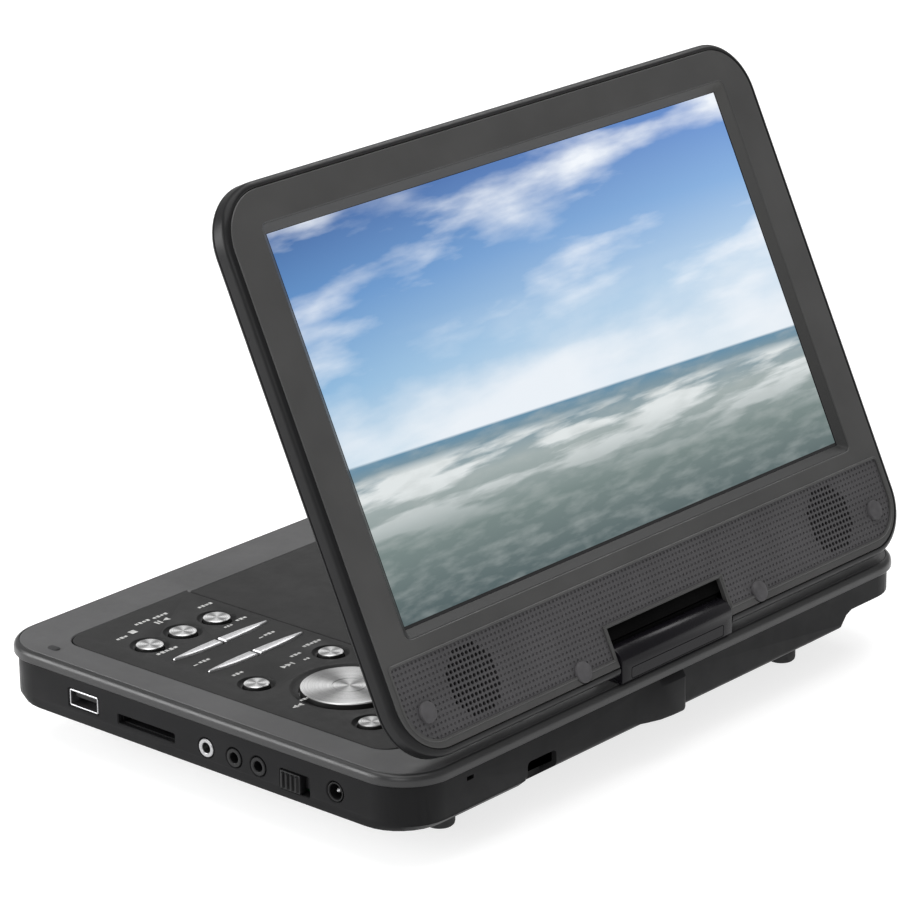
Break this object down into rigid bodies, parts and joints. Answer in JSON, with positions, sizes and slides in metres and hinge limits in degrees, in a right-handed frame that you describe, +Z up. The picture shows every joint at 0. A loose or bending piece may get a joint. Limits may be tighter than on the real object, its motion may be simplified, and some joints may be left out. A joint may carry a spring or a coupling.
{
  "type": "portable disc player",
  "caption": "Portable disc player with a swivelling and tilting widescreen display over a rounded flat base with keys, dial, disc lid and side sockets.",
  "frame": {"origin": "on the resting plane, under the centre of the base's outline", "axes": "+Z up, +Y towards the edge of the base opposite the hinge, +X towards the side opposite the sockets"},
  "size_m": [0.262, 0.1861, 0.2056],
  "materials": {
    "top_shell": "satin moulded plastic, fine grain",
    "case_shell": "satin moulded plastic, fine grain",
    "panel_plate": "satin to semi-gloss moulded plastic",
    "screen_shell": "semi-gloss moulded plastic",
    "hinge_shell": "semi-gloss moulded plastic",
    "key_metal": "circular spun and satin",
    "steel": "plain ground steel",
    "rubber": "matt black rubber",
    "board": "green lacquered board",
    "display": "display module under a smooth film",
    "light_guide": "white moulded plastic",
    "battery": "blue film wrap",
    "black_plastic": "matt black plastic"
  },
  "bodies": {
    "base": {"av_in_jack": "black_plastic", "av_out_jack": "steel", "battery_door": "case_shell", "battery_pack": "battery", "card_slot": "black_plastic", "control_panel": "panel_plate", "dc_jack": "black_plastic", "disc_tray": "panel_plate", "drive_chassis": "steel", "foot_front_left": "rubber", "foot_front_right": "rubber", "foot_rear_left": "rubber", "foot_rear_right": "rubber", "guide_rail_left": "steel", "guide_rail_right": "steel", "headphone_jack": "black_plastic", "key_board": "board", "lid_pin_left": "steel", "lid_pin_right": "steel", "lower_case": "case_shell", "main_board": "board", "nub_left": "rubber", "nub_right": "rubber", "sled_motor": "steel", "spindle_motor": "steel", "swivel_bushing": "steel", "top_cover": "top_shell", "usb_socket": "steel"},
    "hinge": {"hinge_block": "hinge_shell", "swivel_shaft": "steel"},
    "screen": {"screen_bezel": "screen_shell", "screen_back": "screen_shell", "lcd_panel": "display", "backlight": "light_guide", "driver_board": "board", "speaker_left": "black_plastic", "speaker_right": "black_plastic", "bumper_outer_left": "rubber", "bumper_outer_right": "rubber", "bumper_inner_left": "rubber", "bumper_inner_right": "rubber", "tilt_rod": "steel"},
    "disc_lid": {"disc_lid": "panel_plate"},
    "spindle_hub": {"spindle_hub": "black_plastic"},
    "pickup": {"pickup": "black_plastic"},
    "feed_gear": {"feed_gear": "light_guide"},
    "power_slider": {"power_slider": "black_plastic"},
    "key_top_left": {"key_top_left": "key_metal"},
    "key_top_middle": {"key_top_middle": "key_metal"},
    "key_top_right": {"key_top_right": "key_metal"},
    "key_upper_left": {"key_upper_left": "key_metal"},
    "key_upper_right": {"key_upper_right": "key_metal"},
    "key_lower_left": {"key_lower_left": "key_metal"},
    "key_lower_right": {"key_lower_right": "key_metal"},
    "bar_front_left": {"bar_front_left": "key_metal"},
    "bar_front_right": {"bar_front_right": "key_metal"},
    "bar_rear_left": {"bar_rear_left": "key_metal"},
    "bar_rear_right": {"bar_rear_right": "key_metal"},
    "dial": {"dial": "key_metal"}
  },
  "joints": [
    {"name": "screen_swivel", "type": "hinge", "parent": "base", "child": "hinge", "pos_m": [0, -0.0876, 0.034], "axis": [0, 0, 1], "range_deg": [0, 270]},
    {"name": "screen_tilt", "type": "hinge", "parent": "hinge", "child": "screen", "pos_m": [0, -0.0876, 0.042], "axis": [-1, 0, 0], "range_deg": [-115.3, 64.7]},
    {"name": "disc_lid_hinge", "type": "hinge", "parent": "base", "child": "disc_lid", "pos_m": [0.03, -0.0717, 0.0334], "axis": [-1, 0, 0], "range_deg": [-50, 0]},
    {"name": "spindle_spin", "type": "hinge", "parent": "base", "child": "spindle_hub", "pos_m": [0.03, 0.0005, 0.0274], "axis": [0, 0, 1], "continuous": true},
    {"name": "pickup_slide", "type": "slide", "parent": "base", "child": "pickup", "axis": [0, -1, 0], "range_m": [0, 0.034]},
    {"name": "feed_gear_turn", "type": "hinge", "parent": "base", "child": "feed_gear", "pos_m": [0.0625, -0.041, 0.0202], "axis": [0, 0, -1], "range_deg": [-1, 254]},
    {"name": "power_slider_slide", "type": "slide", "parent": "base", "child": "power_slider", "axis": [0, -1, 0], "range_m": [0, 0.0032]},
    {"name": "key_top_left_press", "type": "slide", "parent": "base", "child": "key_top_left", "axis": [0, 0, -1], "range_m": [0, 0.0005], "stiffness_N_per_m": 1500, "springref_m": -0.0003},
    {"name": "key_top_middle_press", "type": "slide", "parent": "base", "child": "key_top_middle", "axis": [0, 0, -1], "range_m": [0, 0.0005], "stiffness_N_per_m": 1500, "springref_m": -0.0003},
    {"name": "key_top_right_press", "type": "slide", "parent": "base", "child": "key_top_right", "axis": [0, 0, -1], "range_m": [0, 0.0005], "stiffness_N_per_m": 1500, "springref_m": -0.0003},
    {"name": "key_upper_left_press", "type": "slide", "parent": "base", "child": "key_upper_left", "axis": [0, 0, -1], "range_m": [0, 0.0005], "stiffness_N_per_m": 1500, "springref_m": -0.0003},
    {"name": "key_upper_right_press", "type": "slide", "parent": "base", "child": "key_upper_right", "axis": [0, 0, -1], "range_m": [0, 0.0005], "stiffness_N_per_m": 1500, "springref_m": -0.0003},
    {"name": "key_lower_left_press", "type": "slide", "parent": "base", "child": "key_lower_left", "axis": [0, 0, -1], "range_m": [0, 0.0005], "stiffness_N_per_m": 1500, "springref_m": -0.0003},
    {"name": "key_lower_right_press", "type": "slide", "parent": "base", "child": "key_lower_right", "axis": [0, 0, -1], "range_m": [0, 0.0005], "stiffness_N_per_m": 1500, "springref_m": -0.0003},
    {"name": "bar_front_left_press", "type": "slide", "parent": "base", "child": "bar_front_left", "axis": [0, 0, -1], "range_m": [0, 0.0005], "stiffness_N_per_m": 1500, "springref_m": -0.0003},
    {"name": "bar_front_right_press", "type": "slide", "parent": "base", "child": "bar_front_right", "axis": [0, 0, -1], "range_m": [0, 0.0005], "stiffness_N_per_m": 1500, "springref_m": -0.0003},
    {"name": "bar_rear_left_press", "type": "slide", "parent": "base", "child": "bar_rear_left", "axis": [0, 0, -1], "range_m": [0, 0.0005], "stiffness_N_per_m": 1500, "springref_m": -0.0003},
    {"name": "bar_rear_right_press", "type": "slide", "parent": "base", "child": "bar_rear_right", "axis": [0, 0, -1], "range_m": [0, 0.0005], "stiffness_N_per_m": 1500, "springref_m": -0.0003},
    {"name": "dial_press", "type": "slide", "parent": "base", "child": "dial", "axis": [0, 0, -1], "range_m": [0, 0.0005], "stiffness_N_per_m": 1500, "springref_m": -0.0003}
  ],
  "couplings": [
    {"joint": "feed_gear_turn", "follows": "pickup_slide", "rad_per_m": 129.87}
  ]
}
